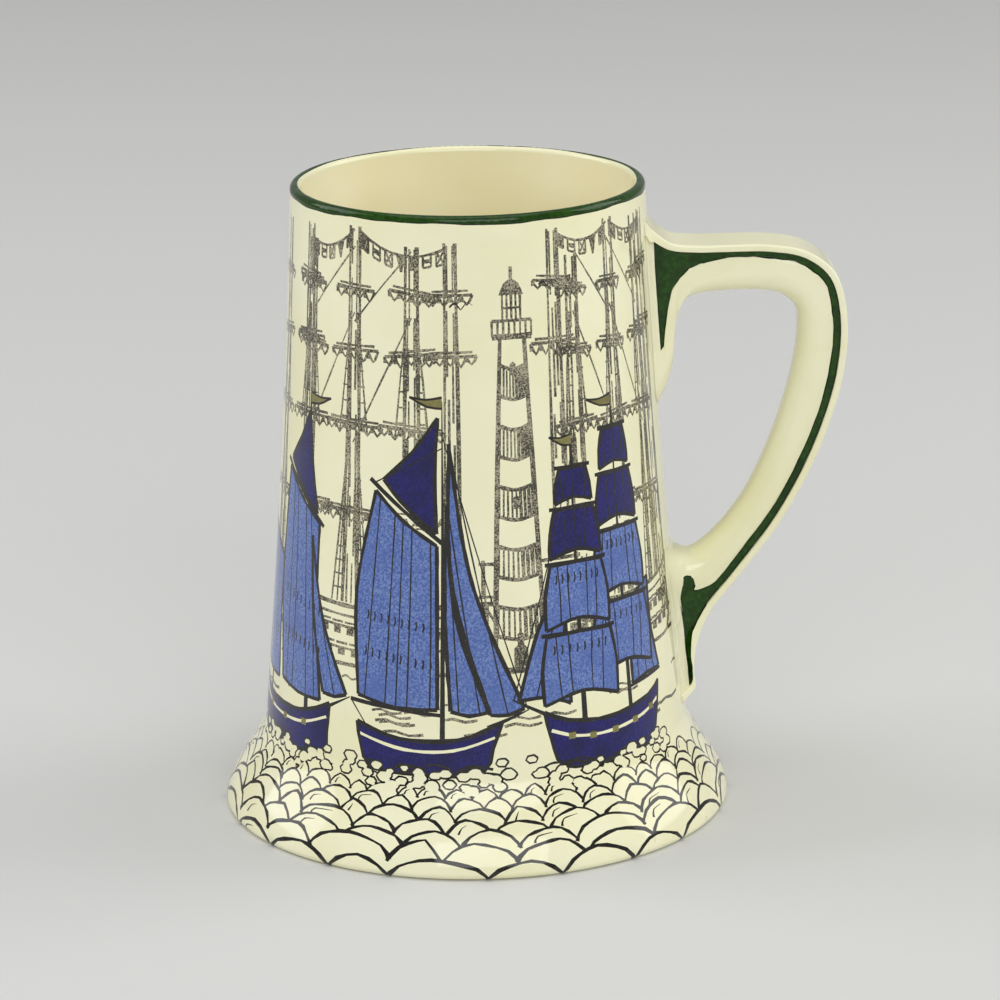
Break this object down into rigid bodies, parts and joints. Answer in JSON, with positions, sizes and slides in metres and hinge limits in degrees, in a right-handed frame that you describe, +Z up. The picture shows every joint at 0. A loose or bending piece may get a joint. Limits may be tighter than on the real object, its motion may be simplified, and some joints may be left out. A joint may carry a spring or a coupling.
{
  "type": "tankard",
  "caption": "Glazed earthenware tankard: tapered hollow body, flared foot and a moulded strap handle; holds a drink and stands on its foot.",
  "frame": {"origin": "centre of the foot's flat underside, on the axis of the body", "axes": "+Z up along the axis of the body, +X out through the middle of the handle, -Y towards the viewer of the picture"},
  "size_m": [0.138, 0.1122, 0.14],
  "materials": {
    "glazed earthenware": "cream gloss glaze over a printed and hand-coloured pattern, with a green rim and green handle grooves"
  },
  "bodies": {
    "root": {"tankard": "glazed earthenware"}
  },
  "joints": []
}
